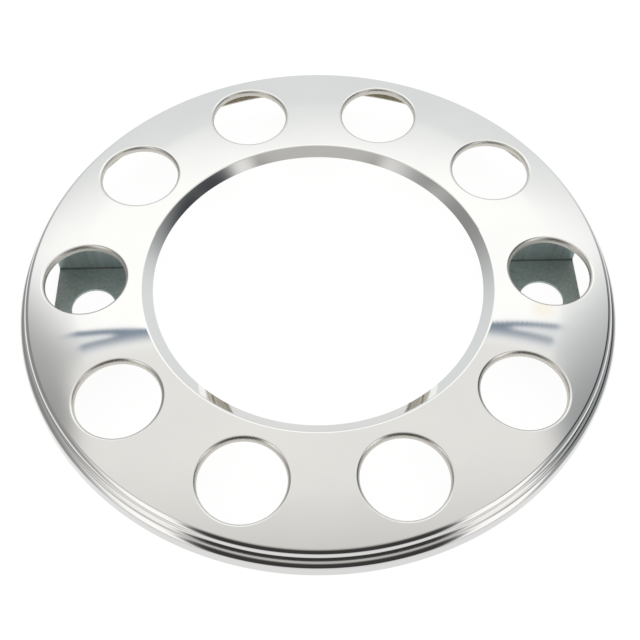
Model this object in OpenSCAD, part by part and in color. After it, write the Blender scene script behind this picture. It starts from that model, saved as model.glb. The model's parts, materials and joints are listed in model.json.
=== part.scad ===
// Wheel nut trim ring for a ten-stud commercial wheel, with its two fixing brackets.
// The ring is one pressed sheet: a turned-in centre flange, a flat face with ten collared
// nut holes, and an edge that steps down twice to a plain skirt. Each bracket is one folded
// strip that hangs under a nut hole, spot-welded to the underside of the face.
// The origin is the wheel axis, in the plane of the bracket feet. +Z points away from the wheel.

/* [Stud circle] */
// Diameter of the circle that the wheel studs stand on
pcd = 335; // [300:1:400]
// Number of nut holes in the face; two of them face each other over the brackets
nut_holes = 10; // [6:2:10]

/* [Ring sheet] */
// Thickness of the ring's sheet
sheet_t = 1; // [0.8:0.1:1.2]
// Height of the face above the bracket feet
face_h = 37.5; // [34:0.5:60]

/* [Nut holes] */
// Clear diameter inside a nut hole's collar
nut_hole_d = 58.2; // [50:0.1:62]
// Depth of a collar below the face
collar_depth = 4.8; // [3.5:0.1:8]
// Radius of the face's bend into a collar
collar_bend_r = 2.5; // [1.5:0.1:3]

/* [Centre opening] */
// Flat face between a collar's bend and the centre crease
inner_web = 9.1; // [4:0.1:16]
// Width of the sloping flange from the crease to the opening
flange_w = 7.7; // [4:0.1:12]
// Drop of the sloping flange from the face to the opening
flange_drop = 5.4; // [2:0.1:7]
// Radius of the crease between face and flange
crease_bend_r = 2; // [1.5:0.1:3]

/* [Stepped edge] */
// Flat face between a collar's bend and the edge's first wall
outer_web = 10.9; // [6:0.1:20]
// Radius of the bend from the face to the first wall
face_bend_r = 4; // [2:0.1:5]
// Drop from the face to the ledge
ledge_drop = 10.2; // [8:0.1:14]
// Radius of the corner between the first wall and the ledge
step_corner_r = 0.5; // [0.3:0.1:1.5]
// Flat width of the ledge
ledge_w = 0.2; // [0.1:0.1:6]
// Radius of the bend from the ledge to the skirt
rim_bend_r = 4; // [2:0.1:5]
// Drop from the face to the skirt's lower edge
skirt_drop = 23.1; // [20:0.1:30]

/* [Brackets] */
// Thickness of a bracket's strip
strip_t = 2; // [1.5:0.1:3]
// Width of a bracket's strip
strip_w = 58.6; // [46:0.2:62]
// Gap between a bracket's two walls
wall_gap = 72.4; // [70:0.2:80]
// Length of each flange that lies under the face, past the wall
lap_l = 12; // [10:0.5:14]
// Inside radius of the strip's folds
fold_r = 1.5; // [1:0.1:2.5]
// Diameter of the stud hole in the foot
stud_hole_d = 32.6; // [23:0.1:34]

/* [Spot welds] */
// Diameter of the dish that a weld leaves under a flange
weld_d = 6; // [4:0.5:7]
// Depth of a weld's dish
weld_depth = 0.3; // [0.1:0.1:0.5]
// Distance between a flange's two welds
weld_pitch = 30; // [20:1:36]

/* [Hidden] */
$fn = 144;
// Straight steps that a bend is drawn in
bend_steps = 8;
// Length by which a cutter runs past the sheet that it cuts
past = 1;
// Width of flat face that each collar's section shares with the ring's
shared_w = 1;
// Radii of the ring's parts, outwards from the wheel axis
stud_circle_r = pcd / 2;
nut_hole_r = nut_hole_d / 2;
collar_root_r = nut_hole_r + collar_bend_r;
crease_r = stud_circle_r - collar_root_r - inner_web;
wall_r = stud_circle_r + collar_root_r + outer_web;
ledge_r = wall_r + step_corner_r + ledge_w;
skirt_r = ledge_r + rim_bend_r;
// Height of the face's underside, where the brackets are welded on
face_under_z = face_h - sheet_t;
// Slope of the centre flange, and the crease's reach from its corner to the flat face
flange_angle = atan2(flange_drop, flange_w);
crease_reach = crease_bend_r * tan(flange_angle / 2);
// Half of the gap between a bracket's walls, and the outside radius of its folds
wall_y = wall_gap / 2;
fold_outside_r = fold_r + strip_t;
// Radius of the ball whose cap is a weld's dish
weld_ball_r = (pow(weld_d / 2, 2) + pow(weld_depth, 2)) / (2 * weld_depth);

// Points of an arc about a centre, from angle a0 to a1
function arc(centre, r, a0, a1) = [
    for (i = [0 : bend_steps])
        let (a = a0 + (a1 - a0) * i / bend_steps) centre + r * [cos(a), sin(a)]
];

function reversed(points) = [for (i = [len(points) - 1 : -1 : 0]) points[i]];

// Section of a bent sheet, between the skin that shows and the one behind it
module sheet_section(skin, back) {
    polygon(concat(skin, reversed(back)));
}

// The ring's half section at a depth into its sheet, from the centre opening to the skirt.
// Its heights, and a collar's, are measured from the face.
function ring_skin(depth) = [
    [crease_r - flange_w + depth * sin(flange_angle), -flange_drop - depth * cos(flange_angle)],
    each arc([crease_r + crease_reach, -crease_bend_r],
             crease_bend_r - depth, 90 + flange_angle, 90),
    each arc([wall_r - face_bend_r, -face_bend_r], face_bend_r - depth, 90, 0),
    each arc([wall_r + step_corner_r, step_corner_r - ledge_drop],
             step_corner_r + depth, 180, 270),
    each arc([ledge_r, -ledge_drop - rim_bend_r], rim_bend_r - depth, 90, 0),
    [skirt_r - depth, -skirt_drop]
];

// A collar's half section at a depth into its sheet, from the flat face down to its edge
function collar_skin(depth) = [
    [collar_root_r + shared_w, -depth],
    each arc([collar_root_r, -collar_bend_r], collar_bend_r - depth, 90, 180),
    [nut_hole_r + depth, -collar_depth]
];

// Half of a bracket's section at a depth into its strip, from mid foot out to the flange's end
function bracket_skin(depth) = [
    [0, strip_t - depth],
    each arc([wall_y - fold_r, fold_outside_r], fold_r + depth, 270, 360),
    each arc([wall_y + fold_outside_r, face_under_z - fold_outside_r],
             fold_outside_r - depth, 180, 90),
    [wall_y + strip_t + lap_l, face_under_z - depth]
];

// Copies its children to each nut hole
module at_nut_holes() {
    for (i = [0 : nut_holes - 1])
        rotate(i * 360 / nut_holes) translate([stud_circle_r, 0, 0]) children();
}

// Copies its children to both ends of a bracket
module at_both_ends() {
    for (end = [0, 1])
        mirror([0, end, 0]) children();
}

module trim_ring() {
    color([0.86, 0.86, 0.85]) translate([0, 0, face_h]) {
        difference() {
            rotate_extrude() sheet_section(ring_skin(0), ring_skin(sheet_t));
            at_nut_holes() translate([0, 0, -sheet_t - past])
                cylinder(r = collar_root_r + shared_w / 2, h = sheet_t + 2 * past);
        }
        at_nut_holes() rotate_extrude() sheet_section(collar_skin(0), collar_skin(sheet_t));
    }
}

// The cap of a ball that a weld leaves as a dish, pressed up into a sheet from z = 0
module weld_dish() {
    intersection() {
        translate([0, 0, weld_depth - weld_ball_r]) sphere(weld_ball_r);
        translate([0, 0, -past]) cylinder(d = weld_d + past, h = past + 2 * weld_depth);
    }
}

// The dishes of the two spot welds under one flange
module weld_dishes() {
    weld_y = wall_y + fold_outside_r + (lap_l - fold_r) / 2;
    for (side = [-1, 1])
        translate([side * weld_pitch / 2, weld_y, face_under_z - strip_t]) weld_dish();
}

// One bracket: a foot with the stud hole, two walls and two flanges, as a single folded strip
module bracket() {
    color([0.45, 0.49, 0.49]) translate([stud_circle_r, 0, 0]) difference() {
        at_both_ends() rotate([90, 0, 90]) translate([0, 0, -strip_w / 2])
            linear_extrude(height = strip_w)
                sheet_section(bracket_skin(0), bracket_skin(strip_t));
        translate([0, 0, -past]) cylinder(d = stud_hole_d, h = strip_t + 2 * past);
        at_both_ends() weld_dishes();
    }
}

module right_bracket() {
    bracket();
}

module left_bracket() {
    rotate(180) bracket();
}

trim_ring();
right_bracket();
left_bracket();
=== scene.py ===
"""Looks of a polished wheel nut trim ring with two galvanised brackets, on a pale floor."""

import json
import math

import bpy
import numpy as np
from mathutils import Matrix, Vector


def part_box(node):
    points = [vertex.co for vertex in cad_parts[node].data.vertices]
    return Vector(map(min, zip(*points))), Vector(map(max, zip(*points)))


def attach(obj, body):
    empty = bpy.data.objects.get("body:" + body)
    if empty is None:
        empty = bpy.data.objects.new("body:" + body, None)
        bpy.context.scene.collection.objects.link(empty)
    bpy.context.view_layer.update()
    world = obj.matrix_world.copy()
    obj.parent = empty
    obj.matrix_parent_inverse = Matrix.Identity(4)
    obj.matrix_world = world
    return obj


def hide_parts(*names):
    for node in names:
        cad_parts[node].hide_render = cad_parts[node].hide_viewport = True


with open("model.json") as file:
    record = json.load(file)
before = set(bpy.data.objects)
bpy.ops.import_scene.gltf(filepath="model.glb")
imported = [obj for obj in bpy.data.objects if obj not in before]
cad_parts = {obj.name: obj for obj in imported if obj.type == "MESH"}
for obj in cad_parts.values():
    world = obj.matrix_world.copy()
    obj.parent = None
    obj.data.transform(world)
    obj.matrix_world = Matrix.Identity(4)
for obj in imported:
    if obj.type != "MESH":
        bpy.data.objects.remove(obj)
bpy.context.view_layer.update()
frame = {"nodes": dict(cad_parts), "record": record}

MM = 0.001

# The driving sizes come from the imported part
mounts = {m["name"]: m for m in frame["record"]["mounts"]}
NUT_HOLES = mounts["nut_holes"]["dims"]["count"]
HOLE_PITCH = 2 * math.pi / NUT_HOLES
STUD_CIRCLE_R = mounts["nut_holes"]["dims"]["pcd_mm"] / 2 * MM
NUT_HOLE_R = mounts["nut_holes"]["dims"]["hole_r_mm"] * MM
FACE_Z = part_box("trim_ring")[1].z
SKIRT_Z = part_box("trim_ring")[0].z
SKIRT_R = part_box("trim_ring")[1].x

# The ring's section. Lengths are the part's, and the bends and the wall's lean are the photo's.
SHEET_T = 1.0 * MM
COLLAR_BEND_R = 2.5 * MM
COLLAR_DEPTH = 4.8 * MM
COLLAR_ROOT_R = NUT_HOLE_R + COLLAR_BEND_R
INNER_WEB = 9.1 * MM
CREASE_R = STUD_CIRCLE_R - COLLAR_ROOT_R - INNER_WEB
CREASE_BEND_R = 3.5 * MM
FLANGE_W = 7.7 * MM
FLANGE_DROP = 5.4 * MM
FACE_BEND_R = 3.5 * MM
OUTER_WEB = 10.9 * MM
WALL_R = STUD_CIRCLE_R + COLLAR_ROOT_R + OUTER_WEB
LEDGE_DROP = 10.2 * MM
LEDGE_Z = FACE_Z - LEDGE_DROP
STEP_CORNER_R = 0.5 * MM
WALL_LEAN = 7
RIM_BEND_R = 4.0 * MM

# The hem turned in under the skirt, which the photograph shows through the far nut holes
HEM_W = 5.5 * MM
HEM_BEND_R = 1.2 * MM

# The pressed face falls a little outside this radius, over a soft kink
KINK_R = 173 * MM
KINK_SOFTNESS = 1.5 * MM
OUTER_SLOPE = 0.02
SLOPE_STEP = 0.1 * MM

# A straw tint beside the right bracket's hole, and a smudge on the near side of the face
STRAW_PATCH_X, STRAW_PATCH_Y, STRAW_PATCH_REACH = 157 * MM, -33 * MM, 13 * MM
SMUDGE_X, SMUDGE_Y, SMUDGE_REACH = 0 * MM, -165 * MM, 12 * MM

# Colours of the metals, each pair being what its clouds or runs go between
POLISHED_A, POLISHED_B = (0.905, 0.900, 0.890, 1), (0.875, 0.875, 0.870, 1)
# The straw colour of the patch beside the right bracket's hole
STRAW_PATCH_COLOUR = (0.86, 0.78, 0.66, 1)
DRAWN_COLLAR = (0.78, 0.75, 0.70, 1)
# The back's olive colours: partly the mill finish's own, partly painted reflection of the shaded space
# under the ring
MILL_AND_REFLECTION_A, MILL_AND_REFLECTION_B = (0.78, 0.74, 0.66, 1), (0.68, 0.65, 0.58, 1)
ZINC_A, ZINC_B = (0.34, 0.42, 0.415, 1), (0.47, 0.55, 0.54, 1)
SPANGLE = (0.56, 0.62, 0.61, 1)
# Near-black painted shade for the brackets' folds
FOLD_SHADE = (0.05, 0.06, 0.06, 1)

# The corner that a bracket's wall and its foot would meet in without their fold
FOLD_Y, FOLD_Z = 36.2 * MM, 2.0 * MM

# How finely the ring is drawn: points round one hole's share of the face, and rows across it
OUTER_STEPS = 36
SIDE_STEPS = 18
INNER_STEPS = 24
FACE_ROWS = 12
BEND_STEPS = 12
SMALL_BEND_STEPS = 6
WELD_GRID = 0.001 * MM

# The camera as it stood for the photograph, over the middle of the ring's face
LENS_MM = 56.74
SENSOR_MM = 36
CAMERA_DISTANCE = 0.72599
CAMERA_ELEVATION = 53.565
CAMERA_YAW = -0.101
CAMERA_PITCH = -2.580
CAMERA_ROLL = 0.073
RING_TURN = -1.206

# The floor: half its width, how many squares it has along a side, and its shades
FLOOR_SIZE = 6.0
FLOOR_STEPS = 80
FLOOR_SHADE = (0.12, 0.12, 0.12, 1)
FLOOR_PALE = (0.8, 0.8, 0.8, 1)
FLOOR_TO_CAMERA = 0.92

# The light tent, which only polished metal sees: its radius, and the light of each part of it
TENT_R = 0.8
FAR_WALL = (0.76, 0.785, 0.785)
FAR_BAND = (1.12, 1.12, 1.10)
GAP = (0.21, 0.26, 0.33)
ROOF_FRONT = (0.86, 0.85, 0.82)
ROOF_BACK = (0.52, 0.51, 0.49)
FLAP = (1.10, 1.09, 1.07)
LEFT_WALL = (0.25, 0.25, 0.245)
RIGHT_WALL = (0.30, 0.31, 0.315)
RIGHT_FLAG = (0.045, 0.05, 0.055)
OPENING = (0.045, 0.043, 0.042)
OPENING_TOP = (0.20, 0.195, 0.185)
SKIRTING = (0.42, 0.42, 0.42)

# Where the tent's parts start or end: azimuths from the far side, +Y, and elevations, in degrees.
# A flap's plane leans back by its sideways and upward shares.
RIGHT_WALL_START, LEFT_WALL_START = 53, -46
FLAG_AZIMUTH, FLAG_HALF_WIDTH = 84, 26
FLAG_ELEVATION, FLAG_SLANT = 47, 0.5
FLAG_REACH_UP, FLAG_REACH_DOWN = 9, 18
SKIRTING_START, SKIRTING_TOP = 62, 9
FLAP_SIDEWAYS, FLAP_LEAN, FLAP_TOP = 1.1, 0.465, 56
FAR_BAND_LOW, FAR_BAND_HIGH, FAR_BAND_END = 40, 75, 47
OPENING_START, OPENING_TOP_START = 90, 54
FAR_ROOF_EDGE, FAR_ROOF_SLOPE = 57.6, 0.22
SIDE_ROOF_START, SIDE_ROOF_EDGE = 56, 60.5
NEAR_ROOF_START, NEAR_ROOF_RISE = 95, 6.5
GAP_LOW_LINE, GAP_LOW_SLOPE = 56, 0.33
GAP_HIGH_LINE, GAP_HIGH_SLOPE = 56.6, 0.22
GAP_SPLIT_START, GAP_END = 38.5, 47
FINE_ROWS_LOW, FINE_ROWS_HIGH = 50, 59


def make_camera():
    """The photograph's camera, turned about the wheel axis so that the brackets lie along X."""
    data = bpy.data.cameras.new("camera")
    data.sensor_width = SENSOR_MM
    data.lens = LENS_MM
    data.clip_start = 0.01
    data.clip_end = 50
    camera = bpy.data.objects.new("camera", data)
    bpy.context.scene.collection.objects.link(camera)
    elevation = math.radians(CAMERA_ELEVATION)
    turn = Matrix.Rotation(math.radians(RING_TURN), 4, "Z")
    place = Matrix.Translation((0, -CAMERA_DISTANCE * math.cos(elevation),
                                CAMERA_DISTANCE * math.sin(elevation)))
    aim = Matrix.Rotation(math.pi / 2 - elevation, 4, "X")
    yaw = Matrix.Rotation(math.radians(CAMERA_YAW), 4, "Y")
    pitch = Matrix.Rotation(math.radians(CAMERA_PITCH), 4, "X")
    roll = Matrix.Rotation(-math.radians(CAMERA_ROLL), 4, "Z")
    lift = Matrix.Translation((0, 0, FACE_Z))
    camera.matrix_world = lift @ turn @ place @ aim @ yaw @ pitch @ roll
    bpy.context.scene.camera = camera


class Skin:
    """One side of a bent sheet: points, normals and four-sided faces, gathered from grids."""

    def __init__(self):
        self.points = np.zeros((0, 3))
        self.normals = np.zeros((0, 3))
        self.faces = np.zeros((0, 4), int)

    def add_grid(self, points, normals):
        """Adds a grid of rows and columns whose last column joins its first."""
        rows, columns = points.shape[:2]
        index = np.arange(rows * columns).reshape(rows, columns) + len(self.points)
        right = np.roll(index, -1, axis=1)
        faces = np.stack([index[:-1], right[:-1], right[1:], index[1:]], axis=-1).reshape(-1, 4)
        self.points = np.concatenate([self.points, points.reshape(-1, 3)])
        self.normals = np.concatenate([self.normals, normals.reshape(-1, 3)])
        corners = self.points[faces]
        turned = np.cross(corners[:, 2] - corners[:, 0], corners[:, 3] - corners[:, 1])
        away = (turned * self.normals[faces].sum(1)).sum(1) < 0
        faces[away] = faces[away][:, ::-1]
        self.faces = np.concatenate([self.faces, faces])

    def weld(self):
        """Merges the points that neighbouring grids share."""
        keys = np.round(self.points / WELD_GRID).astype(int)
        _, first, inverse = np.unique(keys, axis=0, return_index=True, return_inverse=True)
        self.points = self.points[first]
        self.normals = self.normals[first]
        self.faces = inverse.reshape(-1)[self.faces]


def sheet_object(name, skin, thickness, front, back):
    """A closed mesh of a sheet whose front is the skin, with exact normals on both sides."""
    count = len(skin.points)
    points = np.concatenate([skin.points, skin.points - thickness * skin.normals])
    vertex_normals = np.concatenate([skin.normals, -skin.normals])
    rounds = (zip(face, face[1:] + face[:1]) for face in skin.faces.tolist())
    edges = dict.fromkeys(edge for edges_of_face in rounds for edge in edges_of_face)
    rims = np.array([(b, a, a + count, b + count) for a, b in edges if (b, a) not in edges])
    skins = np.concatenate([skin.faces, skin.faces[:, ::-1] + count])
    faces = np.concatenate([skins, rims])
    corners = points[rims]
    flat = np.cross(corners[:, 2] - corners[:, 0], corners[:, 3] - corners[:, 1])
    flat /= np.linalg.norm(flat, axis=1, keepdims=True)
    loop_normals = np.concatenate([vertex_normals[skins].reshape(-1, 3), np.repeat(flat, 4, axis=0)])
    mesh = bpy.data.meshes.new(name)
    mesh.from_pydata(points.tolist(), [], faces.tolist())
    mesh.polygons.foreach_set("use_smooth", [True] * len(faces))
    mesh.materials.append(front)
    mesh.materials.append(back)
    in_front = len(skin.faces)
    mesh.polygons.foreach_set("material_index", [0] * in_front + [1] * (len(faces) - in_front))
    mesh.normals_split_custom_set(loop_normals.tolist())
    piece = bpy.data.objects.new(name, mesh)
    bpy.context.scene.collection.objects.link(piece)
    return piece


def arc(centre, radius, start, end, steps, inside=False):
    """Rows of (r, z, normal r, normal z) along a bend. The skin is on its inside if so said."""
    side = -1 if inside else 1
    angles = np.radians(np.linspace(start, end, steps + 1))
    turned = np.stack([np.cos(angles), np.sin(angles)], axis=1)
    return np.concatenate([np.array(centre) + radius * turned, side * turned], axis=1)


def straight(start, end, steps):
    """Rows of (r, z, normal r, normal z) strictly between two rows, at equal steps."""
    shares = (np.arange(1, steps) / steps)[:, None]
    return start + (end - start) * shares


def chain(*runs):
    """Joins runs of rows, each run being straight between the last row and the next."""
    return np.concatenate(runs)


def sag(x, y):
    """How far the pressed face lies below a flat one."""
    past_kink = (np.hypot(x, y) - KINK_R) / KINK_SOFTNESS
    return OUTER_SLOPE * KINK_SOFTNESS * np.logaddexp(0, past_kink)


def settle(points, normals):
    """Lowers points of the face or a collar with the pressed face, and turns their normals."""
    x, y = points[..., 0], points[..., 1]
    lowered = points.copy()
    lowered[..., 2] -= sag(x, y)
    slope_x = (sag(x + SLOPE_STEP, y) - sag(x - SLOPE_STEP, y)) / (2 * SLOPE_STEP)
    slope_y = (sag(x, y + SLOPE_STEP) - sag(x, y - SLOPE_STEP)) / (2 * SLOPE_STEP)
    turned = normals.copy()
    turned[..., 0] += slope_x * normals[..., 2]
    turned[..., 1] += slope_y * normals[..., 2]
    return lowered, turned / np.linalg.norm(turned, axis=-1, keepdims=True)


def revolved(profile, azimuths):
    """Points and normals of a profile turned about the wheel axis."""
    c, s = np.cos(azimuths), np.sin(azimuths)
    r, z, nr, nz = (profile[:, i][:, None] for i in range(4))
    one = np.ones_like(c)
    points = np.stack([r * c, r * s, z * one], axis=-1)
    normals = np.stack([nr * c, nr * s, nz * one], axis=-1)
    return points, normals


def inner_profile():
    """The sloping flange and its crease, from the opening to the flat face."""
    slope = math.atan2(FLANGE_DROP, FLANGE_W)
    reach = CREASE_BEND_R * math.tan(slope / 2)
    bend = arc((CREASE_R + reach, FACE_Z - CREASE_BEND_R), CREASE_BEND_R,
               90 + math.degrees(slope), 90, SMALL_BEND_STEPS)
    edge = np.array([[CREASE_R - FLANGE_W, FACE_Z - FLANGE_DROP, bend[0, 2], bend[0, 3]]])
    return chain(edge, straight(edge[0], bend[0], 3), bend)


def outer_profile():
    """The stepped edge, from the end of the face to the hem under the skirt."""
    corner = arc((WALL_R + STEP_CORNER_R, LEDGE_Z + STEP_CORNER_R), STEP_CORNER_R,
                 180 + WALL_LEAN, 270, SMALL_BEND_STEPS, inside=True)
    # The bend's centre lies below the falling face and inside the leaning wall by its radius
    lean, fall = math.radians(WALL_LEAN), math.atan(OUTER_SLOPE)
    face_line = FACE_Z + OUTER_SLOPE * KINK_R - FACE_BEND_R / math.cos(fall)
    wall_line = corner[0, 0] + corner[0, 1] * math.tan(lean) - FACE_BEND_R / math.cos(lean)
    centre_r = (wall_line - face_line * math.tan(lean)) / (1 - OUTER_SLOPE * math.tan(lean))
    centre = (centre_r, face_line - OUTER_SLOPE * centre_r)
    face_bend = arc(centre, FACE_BEND_R, 90 - math.degrees(fall), WALL_LEAN, BEND_STEPS)
    rim_bend = arc((SKIRT_R - RIM_BEND_R, LEDGE_Z - RIM_BEND_R), RIM_BEND_R, 90, 0, BEND_STEPS)
    hem_bend = arc((SKIRT_R - HEM_BEND_R, SKIRT_Z + HEM_BEND_R), HEM_BEND_R, 0, -90, SMALL_BEND_STEPS)
    edge = np.array([[SKIRT_R - HEM_W, SKIRT_Z, 0, -1]])
    wall = straight(face_bend[-1], corner[0], 2)
    skirt = straight(rim_bend[-1], hem_bend[0], 4)
    hem = straight(hem_bend[-1], edge[0], 2)
    return chain(face_bend, wall, corner, rim_bend, skirt, hem_bend, hem, edge)


def collar_profile():
    """The bend into a collar and the collar's wall, measured from the nut hole's axis."""
    bend = arc((COLLAR_ROOT_R, FACE_Z - COLLAR_BEND_R), COLLAR_BEND_R, 90, 180, 2 * SMALL_BEND_STEPS)
    edge = np.array([[NUT_HOLE_R, FACE_Z - COLLAR_DEPTH, -1, 0]])
    return chain(bend, straight(bend[-1], edge[0], 2), edge)


def share_outline(inner_r, outer_r):
    """The outline of one hole's share of the face, anticlockwise from its outer arc's start."""
    half = HOLE_PITCH / 2
    out = np.linspace(-half, half, OUTER_STEPS + 1)[:-1]
    back = np.linspace(half, -half, INNER_STEPS + 1)[:-1]
    sides = np.linspace(outer_r, inner_r, SIDE_STEPS + 1)
    radii = np.concatenate([np.full(OUTER_STEPS, outer_r), sides[:-1],
                            np.full(INNER_STEPS, inner_r), sides[::-1][:-1]])
    angles = np.concatenate([out, np.full(SIDE_STEPS, half), back, np.full(SIDE_STEPS, -half)])
    return np.stack([radii * np.cos(angles), radii * np.sin(angles)], axis=1)


def hole_share(inner_r, outer_r):
    """One hole's share of the face with its collar, as rows of points from the outline inwards."""
    centre = np.array([STUD_CIRCLE_R, 0])
    outline = share_outline(inner_r, outer_r)
    away = outline - centre
    away /= np.linalg.norm(away, axis=1, keepdims=True)
    root = centre + COLLAR_ROOT_R * away
    shares = np.linspace(0, 1, FACE_ROWS + 1)[:-1, None, None]
    flat = outline + (root - outline) * shares
    flat = np.concatenate([flat, np.full(flat.shape[:2] + (1,), FACE_Z)], axis=-1)
    up = np.zeros_like(flat)
    up[..., 2] = 1
    r, z, nr, nz = (collar_profile()[:, i][:, None, None] for i in range(4))
    tall = np.ones((1, len(away), 1))
    collar = np.concatenate([centre + r * away, z * tall], axis=-1)
    facing = np.concatenate([nr * away, nz * tall], axis=-1)
    return np.concatenate([flat, collar]), np.concatenate([up, facing])


def turned_about_axis(points, angle):
    """Points or normals turned about the wheel axis."""
    c, s = math.cos(angle), math.sin(angle)
    return points @ np.array([[c, s, 0], [-s, c, 0], [0, 0, 1]])


def make_ring(front, back):
    """The whole ring as one closed sheet."""
    skin = Skin()
    inner, outer = inner_profile(), outer_profile()
    for profile, steps in ((inner, INNER_STEPS), (outer, OUTER_STEPS)):
        azimuths = -HOLE_PITCH / 2 + HOLE_PITCH / steps * np.arange(NUT_HOLES * steps)
        skin.add_grid(*revolved(profile, azimuths))
    points, normals = hole_share(inner[-1, 0], outer[0, 0])
    for i in range(NUT_HOLES):
        angle = HOLE_PITCH * i
        share = settle(turned_about_axis(points, angle), turned_about_axis(normals, angle))
        skin.add_grid(*share)
    skin.weld()
    return sheet_object("ring_sheet", skin, SHEET_T, front, back)


class Nodes:
    """Short names for making a material's nodes and links."""

    def __init__(self, tree):
        self.tree = tree
        tree.nodes.clear()

    def add(self, kind, **settings):
        """A node of that kind. A setting goes to its first socket of that name, or else to the node."""
        node = self.tree.nodes.new(kind)
        sockets = {socket.name.lower().replace(" ", "_"): socket for socket in reversed(node.inputs[:])}
        for key, value in settings.items():
            if key in sockets:
                self.put(sockets[key], value)
            else:
                setattr(node, key, value)
        return node

    def put(self, socket, value):
        """Gives an input socket a link to an output socket, or else a plain value."""
        if isinstance(value, bpy.types.NodeSocket):
            self.tree.links.new(value, socket)
        else:
            socket.default_value = value

    def math(self, operation, *values):
        node = self.add("ShaderNodeMath", operation=operation)
        for socket, value in zip(node.inputs, values):
            self.put(socket, value)
        return node.outputs[0]

    def length(self, x, y):
        """The length of a flat vector."""
        vector = self.add("ShaderNodeCombineXYZ", x=x, y=y).outputs[0]
        node = self.add("ShaderNodeVectorMath", operation="LENGTH", vector=vector)
        return node.outputs["Value"]

    def stretched(self, vector, factors):
        """A place with each of its coordinates scaled."""
        node = self.add("ShaderNodeVectorMath", operation="MULTIPLY")
        self.put(node.inputs[0], vector)
        self.put(node.inputs[1], factors)
        return node.outputs[0]

    def noise(self, vector, scale, detail=2.0):
        return self.add("ShaderNodeTexNoise", vector=vector, scale=scale, detail=detail).outputs["Fac"]

    def span(self, value, low, high, from_value, to_value):
        """Moves a number from one value to another while it goes from low to high."""
        node = self.add("ShaderNodeMapRange", value=value, from_min=low, from_max=high,
                        to_min=from_value, to_max=to_value)
        return node.outputs[0]

    def mixed(self, share, a, b):
        """A colour between two colours."""
        node = self.add("ShaderNodeMix", data_type="RGBA")
        self.put(node.inputs["Factor"], share)
        for name, colour in (("A_Color", a), ("B_Color", b)):
            socket = next(i for i in node.inputs if i.identifier == name)
            self.put(socket, colour)
        return next(o for o in node.outputs if o.identifier == "Result_Color")

    def bump(self, height, distance, under=None):
        """A bump of that height in metres, over another bump."""
        node = self.add("ShaderNodeBump", height=height, distance=distance)
        if under:
            self.put(node.inputs["Normal"], under)
        return node.outputs[0]

    def finish(self, shader):
        out = self.add("ShaderNodeOutputMaterial")
        self.put(out.inputs["Surface"], shader)


def new_material(name):
    """A material, its nodes, and the socket that gives a place on the object."""
    material = bpy.data.materials.new(name)
    material.use_nodes = True
    n = Nodes(material.node_tree)
    return material, n, n.add("ShaderNodeTexCoord").outputs["Object"]


def ring_places(n, place):
    """Distance from the wheel axis, and from the axis of the nearest nut hole."""
    parts = n.add("ShaderNodeSeparateXYZ", vector=place)
    x, y = parts.outputs["X"], parts.outputs["Y"]
    azimuth = n.math("ARCTAN2", y, x)
    hole = n.math("MULTIPLY", n.math("ROUND", n.math("DIVIDE", azimuth, HOLE_PITCH)), HOLE_PITCH)
    off_hole = n.math("SUBTRACT", azimuth, hole)
    radius = n.length(x, y)
    along = n.math("SUBTRACT", n.math("MULTIPLY", radius, n.math("COSINE", off_hole)), STUD_CIRCLE_R)
    across = n.math("MULTIPLY", radius, n.math("SINE", off_hole))
    return radius, n.length(along, across)


def smear(n, place, centre, reach):
    """A soft-edged patch round a point: 1 in its middle and 0 outside it."""
    offset = n.add("ShaderNodeVectorMath", operation="DISTANCE")
    n.put(offset.inputs[0], place)
    n.put(offset.inputs[1], centre)
    ragged = n.math("MULTIPLY_ADD", n.noise(place, 90, 3), 0.6 * reach, offset.outputs["Value"])
    return n.span(ragged, 0.5 * reach, 1.2 * reach, 1, 0)


def polished_material():
    """Mirror-polished stainless sheet. Its drawn collars are duller, and it has a few marks."""
    material, n, place = new_material("polished_stainless")
    radius, from_hole = ring_places(n, place)
    in_collar = n.span(from_hole, COLLAR_ROOT_R - 2.2 * MM, COLLAR_ROOT_R - 0.4 * MM, 1, 0)
    straw_patch = smear(n, place, (STRAW_PATCH_X, STRAW_PATCH_Y, FACE_Z), STRAW_PATCH_REACH)
    smudge = smear(n, place, (SMUDGE_X, SMUDGE_Y, FACE_Z), SMUDGE_REACH)

    cloud = n.noise(place, 14, 3)
    colour = n.mixed(n.span(cloud, 0.35, 0.65, 0, 1), POLISHED_A, POLISHED_B)
    # A straw colour mixed in over the patch beside the right bracket's hole
    colour = n.mixed(n.math("MULTIPLY", straw_patch, 0.55), colour, STRAW_PATCH_COLOUR)
    colour = n.mixed(in_collar, colour, DRAWN_COLLAR)

    # Fine turning lines, and a haze that is stronger in the smudge and much stronger in a collar
    rings = n.noise(n.add("ShaderNodeCombineXYZ", x=radius).outputs[0], 2600, 2)
    haze = n.span(n.noise(place, 30, 4), 0.4, 0.75, 0.015, 0.04)
    haze = n.math("ADD", haze, n.math("MULTIPLY", rings, 0.01))
    haze = n.math("ADD", haze, n.math("MULTIPLY", smudge, 0.08))
    roughness = n.math("MULTIPLY_ADD", in_collar, 0.42, haze)

    # Long waves that pressing leaves in the sheet, under the turning lines
    waves = n.bump(n.noise(place, 16, 1), 0.06 * MM)
    lines = n.bump(rings, 0.0006 * MM, waves)
    shader = n.add("ShaderNodeBsdfPrincipled", metallic=1.0, base_color=colour, roughness=roughness,
                   normal=lines)
    n.finish(shader.outputs[0])
    return material


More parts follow.
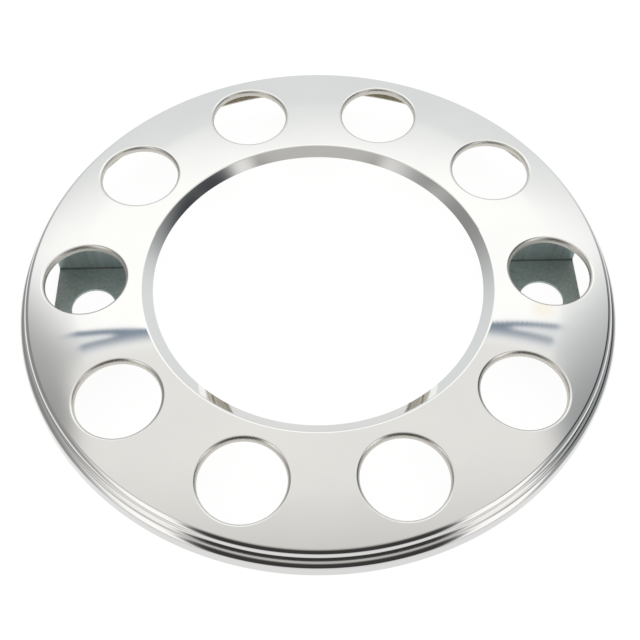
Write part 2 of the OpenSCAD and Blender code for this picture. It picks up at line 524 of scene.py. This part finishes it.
def back_material():
    """The unpolished side of the stainless sheet, with the mill's fine rolling lines. Its olive colour
    is partly the mill finish's own and partly painted reflection of the shaded space under the ring.
    """
    material, n, place = new_material("mill_stainless")
    rolled = n.noise(n.stretched(place, (60, 1500, 1500)), 1.0, 3)
    cloud = n.noise(place, 22, 4)
    colour = n.mixed(cloud, MILL_AND_REFLECTION_A, MILL_AND_REFLECTION_B)
    roughness = n.math("MULTIPLY_ADD", rolled, 0.15, 0.30)
    shader = n.add("ShaderNodeBsdfPrincipled", metallic=1.0, base_color=colour, roughness=roughness,
                   normal=n.bump(rolled, 0.01 * MM))
    n.finish(shader.outputs[0])
    return material


def galvanised_material():
    """Dull galvanised strip: a faint spangle, runs down the walls and painted shade in the folds."""
    material, n, place = new_material("galvanised_steel")
    spangle = n.add("ShaderNodeTexVoronoi", vector=place, scale=260).outputs["Color"]
    cell = n.add("ShaderNodeSeparateXYZ", vector=spangle).outputs["X"]
    runs = n.noise(n.stretched(place, (420, 420, 26)), 1.0, 3)
    grain = n.noise(place, 1400, 2)
    colour = n.mixed(n.span(runs, 0.35, 0.70, 0, 1), ZINC_A, ZINC_B)
    colour = n.mixed(n.math("MULTIPLY", cell, 0.35), colour, SPANGLE)
    parts = n.add("ShaderNodeSeparateXYZ", vector=place)
    off_wall = n.math("SUBTRACT", n.math("ABSOLUTE", parts.outputs["Y"]), FOLD_Y)
    off_foot = n.math("SUBTRACT", parts.outputs["Z"], FOLD_Z)
    # Painted shade darkens the fold where each bracket's wall meets its foot
    fold_shade = n.span(n.length(off_wall, off_foot), 0.6 * MM, 1.5 * MM, 0.9, 0)
    colour = n.mixed(fold_shade, colour, FOLD_SHADE)
    roughness = n.math("MULTIPLY_ADD", grain, 0.12, n.math("MULTIPLY_ADD", cell, 0.10, 0.36))
    shader = n.add("ShaderNodeBsdfPrincipled", metallic=0.75, base_color=colour, roughness=roughness,
                   normal=n.bump(grain, 0.02 * MM))
    n.finish(shader.outputs[0])
    return material


def floor_glow(x, y):
    """How light the floor looks in polished metal: whitest close by to the left and right."""
    beside = rise(np.abs(x), 0.19, 0.05) * (1 - rise(-y, 0.19, 0.08))
    away = rise(np.hypot(x, y), 0.36, 0.06) * rise(-y, -0.05, 0.10)
    return (0.78 + 0.21 * beside) * (1 - 0.5 * away)


def make_floor():
    """A large pale floor. Cameras and mirrors see it lighter than its own shade makes it."""
    # Its squares are smallest round the object, where its glow changes
    steps = np.linspace(-1, 1, FLOOR_STEPS + 1)
    line = FLOOR_SIZE * steps * np.abs(steps)
    x, y = np.meshgrid(line, line)
    floor = grid_object("floor", np.stack([x, y, np.zeros_like(x)], axis=-1))
    paint(floor.data, np.repeat(floor_glow(x, y).reshape(-1, 1), 3, axis=1))
    material, n, _ = new_material("pale_floor")
    path = n.add("ShaderNodeLightPath")
    shade = n.add("ShaderNodeBsdfDiffuse", color=FLOOR_SHADE)
    to_camera = n.add("ShaderNodeEmission", strength=FLOOR_TO_CAMERA)
    seen = n.add("ShaderNodeAddShader")
    n.put(seen.inputs[0], shade.outputs[0])
    n.put(seen.inputs[1], to_camera.outputs[0])
    light = n.add("ShaderNodeAttribute", attribute_name="light")
    glow = n.add("ShaderNodeEmission", color=light.outputs["Color"])
    pale = n.add("ShaderNodeBsdfDiffuse", color=FLOOR_PALE)
    mirrored = n.add("ShaderNodeMixShader", fac=path.outputs["Is Glossy Ray"])
    n.put(mirrored.inputs[1], pale.outputs[0])
    n.put(mirrored.inputs[2], glow.outputs[0])
    both = n.add("ShaderNodeMixShader", fac=path.outputs["Is Camera Ray"])
    n.put(both.inputs[1], mirrored.outputs[0])
    n.put(both.inputs[2], seen.outputs[0])
    n.finish(both.outputs[0])
    floor.data.materials.append(material)


def rise(x, edge, softness):
    """0 well below an edge and 1 well above it."""
    return 0.5 + 0.5 * np.tanh((x - edge) / softness)


def between(x, low, high, softness):
    """1 well within a range and 0 well outside it."""
    return rise(x, low, softness) * (1 - rise(x, high, softness))


def blend(colours, weight, colour):
    """Moves the colours towards another one by a weight for each."""
    return colours + weight[..., None] * (np.array(colour) - colours)


def direction(azimuth, elevation):
    """X, Y and Z of a direction. Azimuth 0 is the far side, +Y, and both are in degrees."""
    a, e = np.radians(azimuth), np.radians(elevation)
    return np.sin(a) * np.cos(e), np.cos(a) * np.cos(e), np.sin(e)


def tent_walls(azimuth, elevation):
    """The tent's far and side walls, with the dark flag on the right one."""
    side = np.abs(azimuth)
    colours = np.zeros(azimuth.shape + (3,)) + FAR_WALL
    colours = blend(colours, rise(azimuth, RIGHT_WALL_START, 8), RIGHT_WALL)
    colours = blend(colours, rise(-azimuth, -LEFT_WALL_START, 13), LEFT_WALL)
    across = azimuth - FLAG_AZIMUTH
    lift = elevation - FLAG_ELEVATION - FLAG_SLANT * across
    reach = np.where(lift > 0, FLAG_REACH_UP, FLAG_REACH_DOWN)
    flag = rise(-np.hypot(across / FLAG_HALF_WIDTH, lift / reach), -1, 0.15)
    colours = blend(colours, flag, RIGHT_FLAG)
    low = 1 - rise(elevation, SKIRTING_TOP, 8)
    return blend(colours, rise(side, SKIRTING_START, 8) * low, SKIRTING)


def tent_light(azimuth, elevation):
    """Colour of the light tent round the object, by azimuth and elevation in degrees."""
    x, y, z = direction(azimuth, elevation)
    side = np.abs(azimuth)
    colours = tent_walls(azimuth, elevation)

    # The bright flaps slant back from the floor at the sides, with the dark opening behind them
    plane_length = math.hypot(1, FLAP_SIDEWAYS, FLAP_LEAN)
    from_flap = (y + FLAP_SIDEWAYS * np.abs(x) - FLAP_LEAN * z) / plane_length
    flap_end = np.where(azimuth > 0, 0.165, 0.19) - 0.21 * rise(elevation, FLAP_TOP, 2.5)
    flap = between(from_flap, -0.4, flap_end, np.where(azimuth > 0, 0.045, 0.11))
    colours = blend(colours, flap * rise(side, 40, 15) * (1 - 0.3 * rise(elevation, 59, 5)), FLAP)
    far_band = between(elevation, FAR_BAND_LOW, FAR_BAND_HIGH, 3) * (1 - rise(side, FAR_BAND_END, 4))
    colours = blend(colours, far_band, FAR_BAND)
    behind = (1 - rise(from_flap, -0.20, 0.045)) * rise(side, OPENING_START, 3)
    colours = blend(colours, behind, OPENING)
    colours = blend(colours, behind * rise(elevation, OPENING_TOP_START, 3), OPENING_TOP)

    # The roof starts higher at the sides and behind than on the far side
    toward_far = rise(y, 0.08, 0.11)[..., None]
    roof = np.array(ROOF_BACK) + toward_far * (np.array(ROOF_FRONT) - ROOF_BACK)
    far_edge = FAR_ROOF_EDGE - FAR_ROOF_SLOPE * (np.minimum(side, 50) - 35)
    edge = far_edge + (SIDE_ROOF_EDGE - far_edge) * rise(side, SIDE_ROOF_START, 5)
    edge = edge + NEAR_ROOF_RISE * rise(side, NEAR_ROOF_START, 12)
    over = rise(elevation, edge, 0.6 + rise(side, 50, 5))
    colours = colours + over[..., None] * (roof - colours)

    # A gap runs under the roof's far edge, and splits in two towards each side
    above_low_line = elevation - GAP_LOW_LINE + GAP_LOW_SLOPE * (side - 34)
    above_high_line = elevation - GAP_HIGH_LINE + GAP_HIGH_SLOPE * (side - 35.5)
    gap = rise(above_low_line, 0, 0.12) * (1 - rise(above_high_line, 0.3, 0.6))
    gap = gap * (1 - rise(side, GAP_END, 1.5))
    split = rise(above_low_line, 0.6, 0.15) * (1 - rise(above_high_line, -0.5, 0.15))
    return blend(colours, gap * (1 - 0.75 * split * rise(side, GAP_SPLIT_START, 0.7)), GAP)


def grid_object(name, points):
    """An object whose mesh is a grid of points."""
    rows, columns = points.shape[:2]
    index = np.arange(rows * columns).reshape(rows, columns)
    faces = np.stack([index[:-1, :-1], index[:-1, 1:], index[1:, 1:], index[1:, :-1]], axis=-1)
    mesh = bpy.data.meshes.new(name)
    mesh.from_pydata(points.reshape(-1, 3).tolist(), [], faces.reshape(-1, 4).tolist())
    grid = bpy.data.objects.new(name, mesh)
    bpy.context.scene.collection.objects.link(grid)
    return grid


def paint(mesh, colours):
    """Stores a colour for each point of a mesh."""
    light = mesh.color_attributes.new(name="light", type="FLOAT_COLOR", domain="POINT")
    rgba = np.concatenate([colours, np.ones((len(colours), 1))], axis=1)
    light.data.foreach_set("color", rgba.reshape(-1))


def make_tent():
    """The light tent, which only polished metal sees. Its rows are close together at the gap."""
    azimuths = np.arange(-180, 180.5, 0.75)
    fine = np.arange(FINE_ROWS_LOW, FINE_ROWS_HIGH, 0.15)
    elevations = np.unique(np.concatenate([np.arange(-1, 90, 1.0), fine, [90]]))
    azimuth, elevation = np.meshgrid(azimuths, elevations)
    tent = grid_object("tent", TENT_R * np.stack(direction(azimuth, elevation), axis=-1))
    paint(tent.data, tent_light(azimuth, elevation).reshape(-1, 3))
    material, n, _ = new_material("tent_light")
    light = n.add("ShaderNodeAttribute", attribute_name="light")
    n.finish(n.add("ShaderNodeEmission", color=light.outputs["Color"]).outputs[0])
    tent.data.materials.append(material)
    tent.visible_camera = False
    tent.visible_diffuse = False
    tent.visible_shadow = False


def make_world():
    """An even white surround."""
    world = bpy.data.worlds.new("world")
    world.use_nodes = True
    bpy.context.scene.world = world
    background = world.node_tree.nodes["Background"]
    background.inputs["Color"].default_value = (1, 1, 1, 1)
    background.inputs["Strength"].default_value = 1.0


def make_studio():
    """The stage: an even white surround, a pale floor and the light tent."""
    make_world()
    make_floor()
    make_tent()
    bpy.context.scene.view_settings.view_transform = "Standard"


make_camera()
ring = make_ring(polished_material(), back_material())
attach(ring, "root")
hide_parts("trim_ring")
galvanised = galvanised_material()
for name in ("right_bracket", "left_bracket"):
    bracket = frame["nodes"][name]
    for slot in bracket.material_slots:
        slot.material = galvanised
make_studio()
